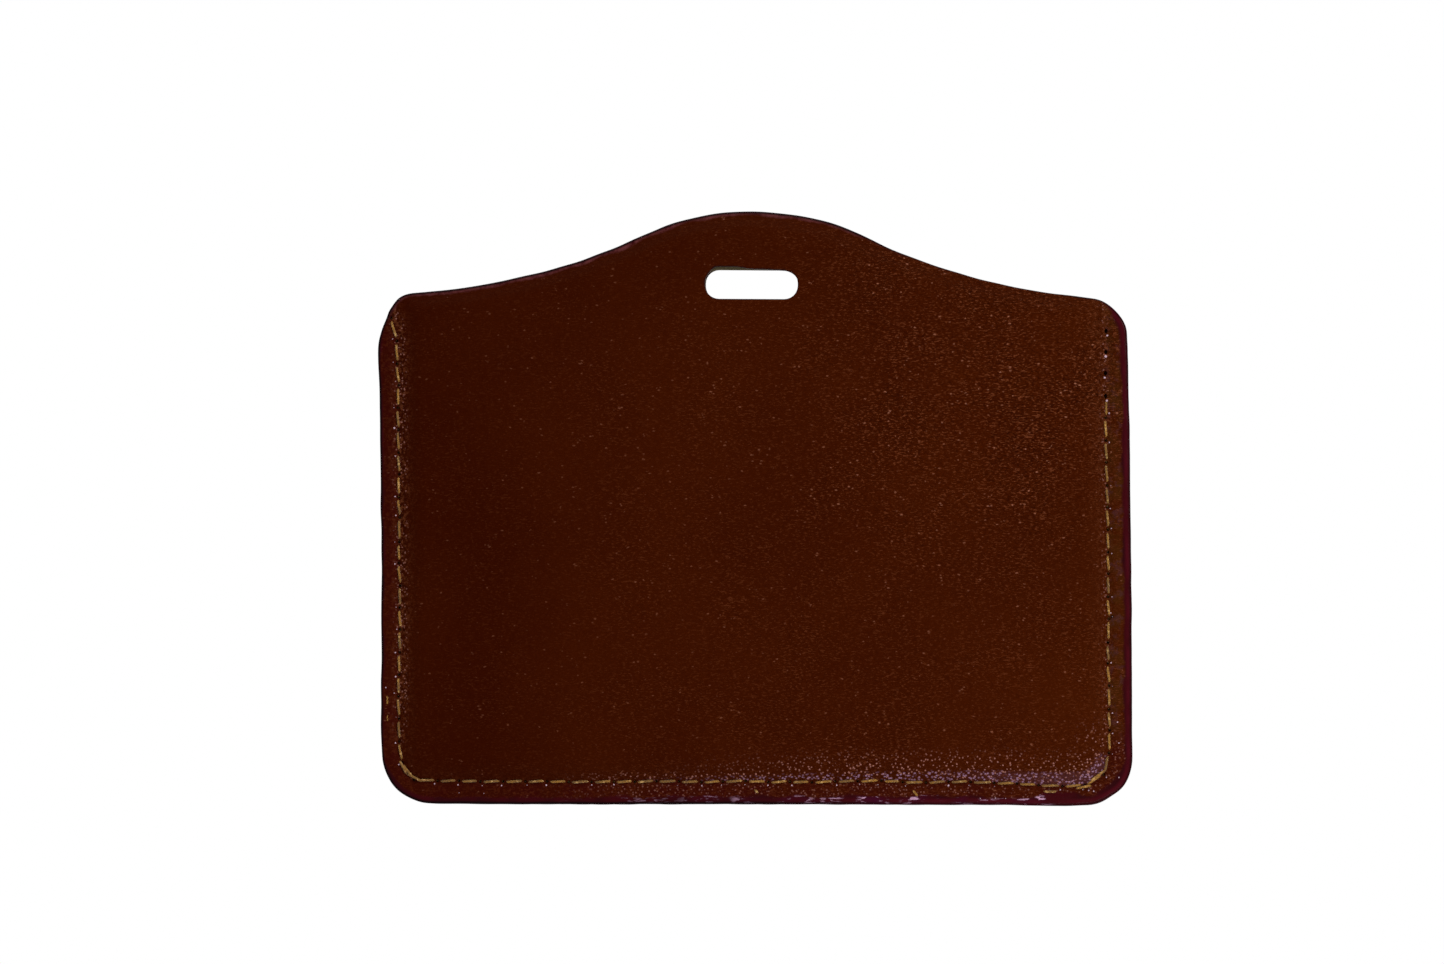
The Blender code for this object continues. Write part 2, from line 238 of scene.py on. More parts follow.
def swell(points, longest, seed):
    """Low waves over the leather, about one unit high, the same on every run."""
    chance = np.random.default_rng(seed)
    found = np.zeros(len(points))
    for _ in range(SWELL_WAVES):
        turn, start = chance.uniform(0, 2 * pi, 2)
        wave = longest * chance.uniform(0.45, 1.0)
        found += np.sin(2 * pi * (points @ (cos(turn), sin(turn))) / wave + start)
    return found / sqrt(SWELL_WAVES / 2)


# The outlines


def hump_right():
    """The top edge's right half, from the middle of the crown to the side."""
    crown_low = CROWN_Z - CROWN_RADIUS
    flare_x = (CROWN_RADIUS + FLARE_RADIUS) * sin(FLANK_ANGLE)
    flare_z = crown_low + (CROWN_RADIUS + FLARE_RADIUS) * cos(FLANK_ANGLE)
    corner_x = WIDTH / 2 - TOP_CORNER_RADIUS
    reach = FLARE_RADIUS + TOP_CORNER_RADIUS
    corner_z = flare_z - sqrt(reach**2 - (flare_x - corner_x) ** 2)
    meeting = atan2(flare_z - corner_z, flare_x - corner_x)
    return np.vstack(
        [
            arc(0, crown_low, CROWN_RADIUS, pi / 2, pi / 2 - FLANK_ANGLE)[:-1],
            arc(flare_x, flare_z, FLARE_RADIUS, -pi / 2 - FLANK_ANGLE, meeting - pi)[:-1],
            arc(corner_x, corner_z, TOP_CORNER_RADIUS, meeting, 0.0),
        ]
    )


def corner_low_right():
    x, z = WIDTH / 2 - BOTTOM_CORNER_RADIUS, BOTTOM_Z + BOTTOM_CORNER_RADIUS
    return arc(x, z, BOTTOM_CORNER_RADIUS, 0.0, -pi / 2)


def pattern():
    """The whole outline, anticlockwise as the plain face is seen."""
    right = np.vstack([hump_right(), corner_low_right()])
    return evenly(np.vstack([right, mirrored(right)])[::-1], STEP, closed=True)


def sewn_line():
    """The sewn sides and bottom, with both sides carried on upwards."""
    right = np.vstack([[(WIDTH / 2, 30.0)], corner_low_right()])
    return np.vstack([right, mirrored(right)])


def top_line():
    """The top edge, with both ends carried on sideways."""
    hump = hump_right()
    right = hump[hump[:, 0] < WIDTH / 2 - TOP_CORNER_RADIUS]
    right = np.vstack([right, [(WIDTH, right[-1, 1] - 1.5)]])
    return np.vstack([mirrored(right)[:-1], right])


def rounded_box(low, high, radius):
    """A rectangle with round corners, clockwise, as the edge of a hole."""
    (x0, z0), (x1, z1) = low, high
    corners = (
        (x1 - radius, z1 - radius, pi / 2),
        (x1 - radius, z0 + radius, 0.0),
        (x0 + radius, z0 + radius, -pi / 2),
        (x0 + radius, z1 - radius, -pi),
    )
    return evenly(np.vstack([arc(x, z, radius, a, a - pi / 2) for x, z, a in corners]), STEP, True)


def frame_pattern():
    """The window frame's outline with its thumb notch, anticlockwise from the plain side."""
    lip_z = MOUTH_Z - NOTCH_LIP_RADIUS
    notch_z = MOUTH_Z - NOTCH_DEPTH + NOTCH_RADIUS
    lip_x = sqrt((NOTCH_RADIUS + NOTCH_LIP_RADIUS) ** 2 - (notch_z - lip_z) ** 2)
    meeting = atan2(lip_z - notch_z, lip_x)
    right = np.vstack(
        [
            arc(0, notch_z, NOTCH_RADIUS, -pi / 2, meeting),
            arc(lip_x, lip_z, NOTCH_LIP_RADIUS, meeting + pi, pi / 2)[1:],
            arc(WIDTH / 2 - MOUTH_CORNER_RADIUS, lip_z + 1, MOUTH_CORNER_RADIUS, pi / 2, 0),
            corner_low_right(),
        ]
    )
    return evenly(np.vstack([right, mirrored(right)])[::-1], STEP, closed=True)


# The cut departs from the pattern: where, how far outwards, and over what reach
DEPARTURES = (
    (50.5, -3.5, -0.42, 3.5),
    (-52.0, -4.9, -0.55, 1.9),
    (-50.9, -2.9, -0.2, 1.1),
    (-52.2, -6.6, -0.18, 1.5),
    (-52.5, -9.5, 0.22, 3.6),
    (52.5, -22.0, 0.12, 6.0),
    (-35.0, 0.0, 0.15, 12.0),
    (-3.0, 10.0, 0.2, 13.0),
    (13.0, 8.5, 0.3, 6.0),
    (24.0, 4.5, 0.12, 10.0),
    (-25.0, -72.7, 0.11, 22.0),
    (28.0, -72.7, 0.13, 24.0),
    (50.5, -70.8, 0.1, 3.5),
    (49.4, -71.6, -0.16, 1.6),
    (-51.5, -69.0, -0.36, 3.6),
    (-48.5, -72.0, -0.22, 2.4),
    (42.0, -72.7, 0.16, 5.0),
)


def leaned(points):
    """The leather as sewn: the hump a little askew and both sides leaning the same way."""
    x, z = points.T
    askew = -0.0103 * x * smooth(z, -16, 2)
    lean = 0.42 * smooth(-z, 8, 46) - 0.2
    aside = 0.295 * smooth(np.abs(x), 8, 30)
    return np.column_stack([x + lean * np.abs(x) / (WIDTH / 2) + aside, z + askew])


def hand_cut(loop, waver, seed):
    """A loop as a knife cuts it: off the pattern here and there, and never quite straight."""
    lengths = run_lengths(np.vstack([loop, loop[:1]]))
    move = waver * ripple(lengths[:-1], lengths[-1], 5.0, 30.0, seed)
    for x, z, far, reach in DEPARTURES:
        move += far * np.exp(-((loop - (x, z)) ** 2).sum(1) / reach**2)
    return loop + outward(loop) * move[:, None]


# The seam


def seam_line():
    return evenly(curved(np.array(SEAM_KNOTS), SEAM_STEP), STITCH_PITCH / 8)


def needle_places():
    """Each needle hole with its direction and outward side, a little unevenly spaced."""
    chance = np.random.default_rng(11)
    path = seam_line()
    lengths = run_lengths(path)
    count = ceil(lengths[-1] / STITCH_PITCH)
    at = np.linspace(0, lengths[-1], count + 1) + chance.normal(0, UNEVEN_ALONG, count + 1)
    spots = places_at(at, lengths, path)
    along = places_at(at + SEAM_STEP, lengths, path) - places_at(at - SEAM_STEP, lengths, path)
    along /= np.hypot(*along.T)[:, None]
    across = to_right(along)
    aside = chance.normal(0, UNEVEN_ACROSS, count + 1)[:, None]
    return spots + across * aside, along, across


def needle_loops(places, spread=0.0):
    """A small oval round each place, long along the seam, clockwise."""
    turn = -np.arange(12) * pi / 6
    found = []
    for i, (spot, along) in enumerate(zip(*places[:2])):
        share = 1.0 if i >= len(places[0]) - EMPTY_HOLES else SEWN_SHARE
        oval = np.outer(np.cos(turn), (NEEDLE_ALONG * share + spread) * along)
        across = np.array((-along[1], along[0]))
        oval += np.outer(np.sin(turn), (NEEDLE_ACROSS * share + spread) * across)
        found.append(spot + oval)
    return found


def glint_places():
    """Painted highlights by needle holes and pricks and on edge paint: place, reach, share."""
    chance = np.random.default_rng(17)
    spots, along, across = PLACES
    found = []
    for i, spot in enumerate(spots):
        if i >= len(spots) - EMPTY_HOLES:
            place = spot + (chance.uniform(-0.1, 0.2), -0.66)
            found.append((*place, chance.uniform(0.2, 0.28), chance.uniform(0.75, 1.0)))
        elif chance.random() < 0.75:
            place = spot + across[i] * chance.uniform(0.4, 0.6) + along[i] * chance.normal(0, 0.25)
            found.append((*place, chance.uniform(0.13, 0.2), chance.uniform(0.5, 1.0)))
    for x, z in STRAY_PRICKS:
        found.append((x - 0.2, z + 0.5, 0.16, 0.8))
    return found + [(*spot, 0.6) for spot in PAINTED_SHINE_SPOTS]


# Sheets of leather


def grid_over(loop, step, chance):
    """A shaken grid of triangles over a loop."""
    low, high = loop.min(0), loop.max(0)
    x, z = np.arange(low[0], high[0], step), np.arange(low[1], high[1], step * 0.866)
    grid = np.stack(np.meshgrid(x, z), -1)
    grid[1::2, :, 0] += step / 2
    return grid.reshape(-1, 2) + chance.uniform(-0.12, 0.12, (grid.size // 2, 2)) * step


def spots_within(outline, cut_hole, grid, needles):
    """Points over a sheet: close together by its edges, further apart in the middle."""
    fine, coarse, fine_reach = grid
    chance = np.random.default_rng(5)
    rim, hole = Line(outline, True), Line(cut_hole, True)
    found = []
    for step, near, far in ((fine, 0.22, fine_reach), (coarse, fine_reach, 1e9)):
        spots = grid_over(outline, step, chance)
        room = np.minimum(-rim.outside(spots), -hole.outside(spots))
        spots = spots[(room >= near) & (room < far)]
        if needles:
            spots = spots[needle_gap(spots) > 0.8]
        found.append(spots)
    for spread in (0.12, 0.28) if needles else ():
        found += needle_loops(PLACES, spread)
    for x, z, reach, _ in GLINTS if needles else ():
        ring = [(x + reach * cos(turn), z + reach * sin(turn)) for turn in range(6)]
        found.append(np.array([(x, z)] + ring))
    return np.vstack(found)


def fill(loops, spots):
    """Triangles over the first loop, less the others, through the spots."""
    points, faces = [], []
    for loop in loops:
        faces.append(list(range(len(points), len(points) + len(loop))))
        points += [Vector(p) for p in loop]
    points += [Vector(p) for p in spots]
    made = delaunay_2d_cdt(points, [], faces, 2, 1e-7)
    return np.array([p[:] for p in made[0]]), np.array(made[2])


def bullnose(radius, thickness):
    """The rounded cut edge: how far out, and what share of the way through, at each ring."""
    turn = np.linspace(0, pi / 2, BULLNOSE_STEPS + 1)[1:]
    out, deep = radius * np.sin(turn), radius * (1 - np.cos(turn)) / thickness
    back = [(o, 1 - d) for o, d in zip(out[::-1], deep[::-1])]
    return list(zip(out, deep)) + back


def rim_rings(start, radius, outer, inner):
    """Rings of points round a cut edge, from the outer face to the inner, and how far out."""
    away = outward(start)
    thickness = float(np.abs(inner - outer).mean())
    for out, through in bullnose(radius, thickness) if radius else ():
        place = start + away * out
        y = outer * (1 - through) + inner * through
        yield np.column_stack([place[:, 0], y, place[:, 1]]), out


def strips(rings):
    """The faces between rings of points that follow one another round an edge."""
    for near, far in zip(rings, rings[1:]):
        yield np.column_stack((near, far, np.roll(far, -1), np.roll(near, -1)))


def store_marks(piece, marks):
    """Keeps the marks on the piece's points, where its finish reads them."""
    for key, parts in marks.items():
        field = piece.data.attributes.new(key, "FLOAT", "POINT")
        field.data.foreach_set("value", np.concatenate(parts).astype(np.float32))


def sheet(name, outline, cut_hole, edge, grid, surface, side, needles=False):
    """A closed sheet of leather with rounded cut edges, needle holes and one opening.

    surface gives, for points in the plane, the outer and inner faces' places and a dictionary
    of marks: paint is how far in from the edge the paint comes, rim the way to the edge, less
    than 0 inside it. side is -1 where the outer face looks along -Y, and 1 where it looks along +Y.
    """
    loops = [outline, cut_hole] + (needle_loops(PLACES) if needles else [])
    radii = [edge, edge * 0.6] + [0.0] * (len(loops) - 2)
    starts = [loop - outward(loop) * r for loop, r in zip(loops, radii)]
    plane, triangles = fill(starts, spots_within(starts[0], starts[1], grid, needles))
    outer, inner, marks = surface(plane)
    by_rim, by_hole = (Line(loop, True).gap(plane) for loop in (outline, cut_hole))
    marks["paint"] = np.maximum(marks["paint"] - by_rim, 0.1 - by_hole)
    marks["rim"] = -np.minimum(by_rim, by_hole)
    total, first = 2 * len(plane), 0
    points = [np.column_stack([plane[:, 0], y, plane[:, 1]]) for y in (outer, inner)]
    faces = [triangles, triangles[:, ::-1] + len(plane)]
    kept = {key: [value, value] for key, value in marks.items()}
    for start, radius in zip(starts, radii):
        ids = np.arange(first, first + len(start))
        first += len(start)
        rings = [ids]
        for ring, out in rim_rings(start, radius, outer[ids], inner[ids]):
            points.append(ring)
            for key, parts in kept.items():
                parts.append(marks[key][ids] + (out if key in ("paint", "rim") else 0.0))
            rings.append(np.arange(total, total + len(start)))
            total += len(start)
        rings.append(ids + len(plane))
        faces += strips(rings)
    made = mesh_piece(name, np.vstack(points), faces, side > 0)
    store_marks(made, kept)
    return lean_mesh(made)


def placed(name, data):
    """A new object in the scene."""
    made = bpy.data.objects.new(name, data)
    bpy.context.scene.collection.objects.link(made)
    return made


def mesh_piece(name, points, faces, turned=False):
    """A smooth piece from points in millimetres."""
    rows = [row[::-1] if turned else row for part in faces for row in part.tolist()]
    mesh = bpy.data.meshes.new(name)
    mesh.from_pydata((points * MM).tolist(), [], rows)
    mesh.shade_smooth()
    return placed(name, mesh)


# The plain face and the other sheets


OUTLINE, FRAME_OUTLINE = pattern(), frame_pattern()
SLOT = rounded_box(
    (-SLOT_WIDTH / 2, -SLOT_HEIGHT / 2), (SLOT_WIDTH / 2, SLOT_HEIGHT / 2), SLOT_CORNER_RADIUS
)
WINDOW = rounded_box(
    (-WINDOW_SIDE, WINDOW_BOTTOM_Z), (WINDOW_SIDE, WINDOW_TOP_Z), WINDOW_CORNER_RADIUS
)
EDGE, FRAME_EDGE = Line(OUTLINE, True), Line(FRAME_OUTLINE, True)
SEWN, TOP = Line(sewn_line()), Line(top_line())
SEAM = Line(seam_line())
PLACES = needle_places()
GLINTS = glint_places()


def raised(points, band, rise, with_top):
    """0 where the leather is pressed flat at its edges, 1 where it is raised."""
    share = (SEWN.gap(points) - band) / rise
    if with_top:
        share = np.minimum(share, (TOP.gap(points) - TOP_BAND) / TOP_RISE)
    return smooth(share, 0, 1)


def needle_gap(points):
    """How far each point is from the nearest needle hole or prick."""
    tree = tree_of([*PLACES[0].tolist(), *STRAY_PRICKS])
    return np.array([tree.find((x, z, 0.0))[2] for x, z in points.tolist()])


# How strongly the painted highlights by the needle holes and on the edge paint show at each point.
def glinting(points):
    found = np.zeros(len(points))
    for x, z, reach, share in GLINTS:
        gap = ((points - (x, z)) ** 2).sum(1)
        found = np.maximum(found, share * np.exp(-gap / (reach * 0.8) ** 2))
    return found


# How the seam draws the leather in: a valley along it, a pit at each hole, a bulge beside it
VALLEY_DEPTH, VALLEY_OUTSIDE, VALLEY_INSIDE = 0.2, 0.5, 1.05
PIT_DEPTH, PIT_REACH = 0.2, 0.42
BULGE_HEIGHT, BULGE_INSET, BULGE_REACH = 0.07, 1.1, 0.5


def seam_marks(points):
    """How deep the seam draws the leather in, and the marks that go by seam and needle."""
    outside, near = SEAM.outside(points), needle_gap(points)
    gap = np.abs(outside)
    x, z = points.T
    wide = np.where(outside > 0, VALLEY_OUTSIDE, VALLEY_INSIDE)
    valley = VALLEY_DEPTH * np.exp(-((gap / wide) ** 2))
    valley += PIT_DEPTH * np.exp(-((near / PIT_REACH) ** 2))
    bulge = BULGE_HEIGHT * np.exp(-(((gap - BULGE_INSET) / BULGE_REACH) ** 2))
    bulge *= np.cos(near * 2 * pi / STITCH_PITCH)
    inner_side = (1 - 0.5 * smooth(outside, -0.2, 0.3)) * (1.2 - 0.5 * smooth(x, -46, -38))
    inner_side *= 1 - 0.8 * smooth(-z, 62, 67)
    marks = {
        "needle": np.exp(-((near / 0.5) ** 2)),
        "sewn": np.exp(-((gap / 1.4) ** 2)) * inner_side,
        "inset": np.clip(-outside, -4, 8),
        "painted_glint": glinting(points),
    }
    return valley + bulge, marks


def painted(points, edge, reaches, seed):
    """How far in the paint comes, from its reaches at the left, right, foot and top."""
    near, _ = edge.nearest(points)
    left, right, low, top = reaches
    x, z = points.T
    reach = left + (right - left) * smooth(x, 30, 50)
    reach = reach + (low - reach) * smooth(-z, 67, 70.8) * (1 - 0.3 * smooth(-x, 0, 40))
    reach = reach + (top - reach) * smooth(z, -6, -1)
    run = smooth(x, 39, 42) * (1 - smooth(x, 43.5, 46.5)) + 0.25 * smooth(x, 43, 47)
    reach = reach + 1.1 * run * smooth(-z, 66, 70) - 0.5 * smooth(z, -6, -1) * smooth(x, 2, 28)
    return reach * (1 + 0.1 * ripple(edge.at[near], edge.total, 4.0, 60.0, seed))


def plain_surface(points):
    lift = raised(points, SEWN_BAND, SEWN_RISE, True)
    drawn, marks = seam_marks(points)
    middle = raised(points, SEWN_BAND + 1, 18.0, True)
    waves = 0.026 * swell(points, 26, 3) + 0.01 * swell(points, 7, 4)
    outer = PLAIN_RIM + (PLAIN_FIELD - PLAIN_RIM) * lift + drawn - 0.05 * middle + waves * lift
    inner = PLAIN_INSIDE_RIM + (PLAIN_INSIDE_FIELD - PLAIN_INSIDE_RIM) * lift
    outer += 0.03 * swell(points, 2.0, 6) * marks["sewn"]
    paint = painted(points, EDGE, (0.5, 1.15, 1.15, 0.6), 21)
    return outer, inner, {"paint": paint, "lift": lift, **marks}


def lining_surface(points):
    outer = LINING_OUTSIDE + 0.02 * swell(points, 22, 8)
    paint = painted(points, EDGE, (0.3, 0.3, 0.3, 0.4), 22)
    flat = np.zeros(len(points))
    inner = flat + LINING_INSIDE
    marks = {"needle": flat, "sewn": flat, "inset": flat + 8, "painted_glint": flat}
    return outer, inner, {"paint": paint, "lift": flat + 1, **marks}


def frame_surface(points):
    lift = raised(points, FRAME_BAND, FRAME_RISE, False)
    drawn, marks = seam_marks(points)
    waves = 0.03 * swell(points, 24, 9) + 0.012 * swell(points, 6, 10)
    outer = FRAME_RIM + (FRAME_FIELD - FRAME_RIM) * lift - drawn + waves * lift
    inner = FRAME_INSIDE_RIM + (FRAME_INSIDE_FIELD - FRAME_INSIDE_RIM) * lift
    paint = painted(points, FRAME_EDGE, (0.3, 0.4, 0.5, 0.3), 23)
    return outer, inner, {"paint": paint, "lift": lift, **marks}


def lean_mesh(piece):
    """Gives a piece made on the pattern the lean of the sewn leather."""
    vertices = piece.data.vertices
    points = np.empty(3 * len(vertices), np.float32)
    vertices.foreach_get("co", points)
    points = points.reshape(-1, 3).astype(float)
    points[:, (0, 2)] = leaned(points[:, (0, 2)] / MM) * MM
    vertices.foreach_set("co", points.astype(np.float32).ravel())
    piece.data.update()
    return piece


def punched_high(loop):
    """The slot in the plain face, punched a little high at its left, so the board shows."""
    x, z = loop.T
    top = smooth(z, 0.5, 2.0)
    lifted = 0.34 * smooth(x, -6.3, -5.0) * (1 - smooth(x, -2.5, 0.5)) - 0.18 * smooth(x, 1.0, 5.5)
    return np.column_stack([x, z + lifted * top])


# How round each cut edge is and how much it wavers, and the grids: the step near the edge, the
# step further in, and where the one gives way to the other
LEATHER_EDGE, LINING_EDGE = 0.42, 0.2
WAVER, FRAME_WAVER = 0.022, 0.03
PLAIN_GRID, LINING_GRID, FRAME_GRID = (0.42, 1.3, 8.4), (0.7, 2.6, 3.0), (0.45, 1.0, 8.4)

plain = sheet(
    "plain_leather", hand_cut(OUTLINE, WAVER, 31), punched_high(SLOT), LEATHER_EDGE, PLAIN_GRID,
    plain_surface, -1, needles=True,
)
lining = sheet(
    "lining_leather", hand_cut(OUTLINE, WAVER, 32), SLOT, LINING_EDGE, LINING_GRID,
    lining_surface, 1,
)
window_frame = sheet(
    "frame_leather", hand_cut(FRAME_OUTLINE, FRAME_WAVER, 33), WINDOW, LEATHER_EDGE, FRAME_GRID,
    frame_surface, 1, needles=True,
)
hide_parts("back_panel")
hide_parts("pocket_lining")
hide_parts("window_frame")

# The threads

# A ply's radius, how far it lies from the thread's middle and the length of its turn, and how a
# stitch dips: how far from the needle hole, and how deep
PLY_RADIUS, PLY_OFFSET, TWIST = 0.1, 0.088, 1.3
STITCH_DIPS = ((0.92, 0.04), (0.68, 0.18), (0.45, 0.5), (0.12, 0.9))


def stitch_places(places, odd):
    """Knots of one thread of the saddle stitch, which dips into each needle hole."""
    spots, _, across = places
    steps = np.diff(spots, axis=0)
    steps /= np.hypot(*steps.T)[:, None]
    plain_y, window_y = PLAIN_RIM + 0.03, FRAME_RIM - 0.03
    found = []
    for i, (spot, out) in enumerate(zip(spots, across)):
        leaves_plain = i % 2 == odd
        here = spot + (0.05 if leaves_plain else -0.05) * out
        out_y, in_y = (plain_y, window_y) if leaves_plain else (window_y, plain_y)
        inward = 1 if out_y > in_y else -1
        if i > 0:
            found += [(*(here - b * steps[i - 1]), in_y + deep * inward) for b, deep in STITCH_DIPS]
        else:
            found.append((*here, in_y + 0.8 * inward))
        if i < len(spots) - 1:
            rising = STITCH_DIPS[::-1]
            found += [(*(here + on * steps[i]), out_y - deep * inward) for on, deep in rising]
            found.append((*((spot + spots[i + 1]) / 2), out_y + 0.05 * inward))
        else:
            found.append((*here, out_y - 0.8 * inward))
    return np.array(found)[:, (0, 2, 1)]


def stray_stitch(start, end, drawn_in):
    """Knots of one short stitch on the plain face."""
    start, end = np.array(start), np.array(end)
    y = PLAIN_RIM + drawn_in + np.array([0.6, -0.02, -0.05, -0.02, 0.6])
    shares = np.array([0.0, 0.22, 0.5, 0.78, 1.0])[:, None]
    place = start + (end - start) * shares
    return np.column_stack([place[:, 0], y, place[:, 1]])


def across_frames(line):
    """Two directions square to a line at each point, carried along it without turning."""
    along = np.gradient(line, axis=0)
    along /= np.linalg.norm(along, axis=1)[:, None]
    side = np.cross(along[0], (0.3, 1.0, 0.2))
    sides = []
    for direction in along:
        side = side - direction * (side @ direction)
        side = side / np.linalg.norm(side)
        sides.append(side)
    sides = np.array(sides)
    return sides, np.cross(along, sides)


def plies(line):
    """The three plies that twist round each other along a line."""
    side, up = across_frames(line)
    lengths = np.concatenate([[0], np.cumsum(np.linalg.norm(np.diff(line, axis=0), axis=1))])
    found = []
    for k in range(3):
        turn = (2 * pi * (lengths / TWIST + k / 3))[:, None]
        found.append(line + PLY_OFFSET * (np.cos(turn) * side + np.sin(turn) * up))
    return found


def leaned_knots(knots):
    found = knots.copy()
    found[:, (0, 2)] = leaned(knots[:, (0, 2)])
    return found


def thread(name, runs):
    """A three-ply thread along each run of knots, leaned as the leather is."""
    curve = bpy.data.curves.new(name, "CURVE")
    curve.dimensions = "3D"
    curve.bevel_depth = PLY_RADIUS * MM
    curve.bevel_resolution = 1
    curve.use_fill_caps = True
    for knots in runs:
        for ply in plies(curved(leaned_knots(knots), THREAD_STEP)):
            line = curve.splines.new("POLY")
            line.points.add(len(ply) - 1)
            line.points.foreach_set("co", np.column_stack([ply * MM, np.ones(len(ply))]).ravel())
    return placed(name, curve)


stitched = [part[:-EMPTY_HOLES] for part in PLACES]
first_runs = [stitch_places(stitched, 0)] + [stray_stitch(*ends) for ends in STRAY_STITCHES]
first_thread = thread("golden_thread_first", first_runs)
second_thread = thread("golden_thread_second", [stitch_places(stitched, 1)])
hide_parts("seam_thread_first")
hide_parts("seam_thread_second")

# Finishes


BURGUNDY = colour(48, 1, 7)


class Wire:
    """A socket in a finish. Sums and products on it add Math nodes."""

    def __init__(self, finish, socket):
        self.finish, self.socket = finish, socket

    def maths(self, operation, first, second, clamp=False):
        sockets = {"Value": first, "Value_001": second}
        return self.finish.add("Math", sockets, operation=operation, use_clamp=clamp)

    def __add__(self, other):
        return self.maths("ADD", self, other)

    def __radd__(self, other):
        return self.maths("ADD", other, self)

    def __sub__(self, other):
        return self.maths("SUBTRACT", self, other)

    def __rsub__(self, other):
        return self.maths("SUBTRACT", other, self)

    def __mul__(self, other):
        return self.maths("MULTIPLY", self, other)

    def __rmul__(self, other):
        return self.maths("MULTIPLY", other, self)

    def held(self):
        """Kept from 0 to 1."""
        return self.maths("ADD", self, 0.0, clamp=True)

    def at_least(self, other):
        return self.maths("MAXIMUM", self, other)

    def between(self, low, high):
        """0 below low, 1 above high, and smooth from one to the other."""
        sockets = {"Value": self, "From Min": low, "From Max": high}
        return self.finish.add("MapRange", sockets, interpolation_type="SMOOTHSTEP")


class Finish:
    """A material as its maker lists it: layers of nodes under one surface shader."""

    def __init__(self, name, **constants):
        self.material = bpy.data.materials.new(name)
        self.material.use_nodes = True
        self.nodes = self.material.node_tree.nodes
        self.links = self.material.node_tree.links
        self.surface = self.nodes["Principled BSDF"]
        for socket, value in constants.items():
            self.surface.inputs[socket.replace("_", " ")].default_value = value
        self.place = self.add("TexCoord", out="Object")

    def add(self, kind, sockets=None, out=None, **settings):
        """Adds a node: its settings first, then values or wires on its sockets."""
        node = self.nodes.new("ShaderNode" + kind)
        for setting, value in settings.items():
            setattr(node, setting, value)
        named = {socket.identifier: socket for socket in node.inputs}
        for socket, value in (sockets or {}).items():
            self.feed(named[socket], value)
        chosen = {socket.identifier: socket for socket in node.outputs}
        return Wire(self, chosen[out] if out else node.outputs[0])

    def feed(self, socket, value):
        if isinstance(value, Wire):
            self.links.new(value.socket, socket)
        elif isinstance(value, tuple) and len(value) == 3 and socket.type == "RGBA":
            socket.default_value = (*value, 1.0)
        else:
            socket.default_value = value

    def noise(self, size, detail, rough=0.5, place=None, twist=0.0):
        """Soft noise whose lumps are about size millimetres across."""
        sockets = {"Vector": place or self.place, "Scale": 1000 / size, "Detail": detail}
        sockets.update({"Roughness": rough, "Distortion": twist})
        return self.add("TexNoise", sockets)

    def cells(self, size, place, feature="F1"):
        """Cells about size millimetres across."""
        return self.add("TexVoronoi", {"Vector": place, "Scale": 1000 / size}, feature=feature)

    def along(self, axis):
        """How far along one axis of the piece, in metres."""
        return self.add("SeparateXYZ", {"Vector": self.place}, out=axis)

    def mix(self, share, first, second):
        sockets = {"Factor_Float": share, "A_Color": first, "B_Color": second}
        return self.add("Mix", sockets, out="Result_Color", data_type="RGBA")

    def vector(self, operation, out=None, **sockets):
        return self.add("VectorMath", sockets, out=out, operation=operation)

    def mark(self, name):
        """A number that the mesh carries at each point."""
        return self.add("Attribute", out="Fac", attribute_name=name)

    def bump(self, height, depth):
        """Height from 0 to 1 as relief, depth millimetres deep."""
        return self.add("Bump", {"Height": height, "Distance": depth * MM, "Strength": 1.0})

    def polished(self, share, roughness, level, tint):
        """A second, glossier surface over the first where share is 1."""
        first = self.surface
        sockets = {"Roughness": roughness, "Specular IOR Level": level, "Specular Tint": tint}
        second = self.add("BsdfPrincipled", sockets)
        inputs = second.socket.node.inputs
        for link in list(self.links):
            if link.to_node == first and link.to_socket.identifier in ("Base Color", "Normal"):
                self.feed(inputs[link.to_socket.name], Wire(self, link.from_socket))
        sockets = {"Fac": share, "Shader": Wire(self, first.outputs[0]), "Shader_001": second}
        both = self.add("MixShader", sockets)
        self.links.new(both.socket, self.nodes["Material Output"].inputs["Surface"])

    def set(self, **wires):
        for socket, value in wires.items():
            self.feed(self.surface.inputs[socket.replace("_", " ")], value)

    def dress(self, *pieces):
        for piece in pieces:
            piece.data.materials.clear()
            piece.data.materials.append(self.material)


def moved_place(finish, size, amount, stretch=(1.0, 1.0, 1.0), slant=0.0):
    """The place on the piece, shifted about so that cells aren't regular, and drawn out."""
    shift = finish.add(
        "TexNoise", {"Vector": finish.place, "Scale": 1000 / size, "Detail": 1.0}, out="Color"
    )
    centred = finish.vector("SUBTRACT", Vector=shift, Vector_001=(0.5, 0.5, 0.5))
    scaled = finish.vector("SCALE", Vector=centred, Scale=amount * MM)
    moved = finish.vector("ADD", Vector=finish.place, Vector_001=scaled)
    return finish.add("Mapping", {"Vector": moved, "Rotation": (0.0, slant, 0.0), "Scale": stretch})


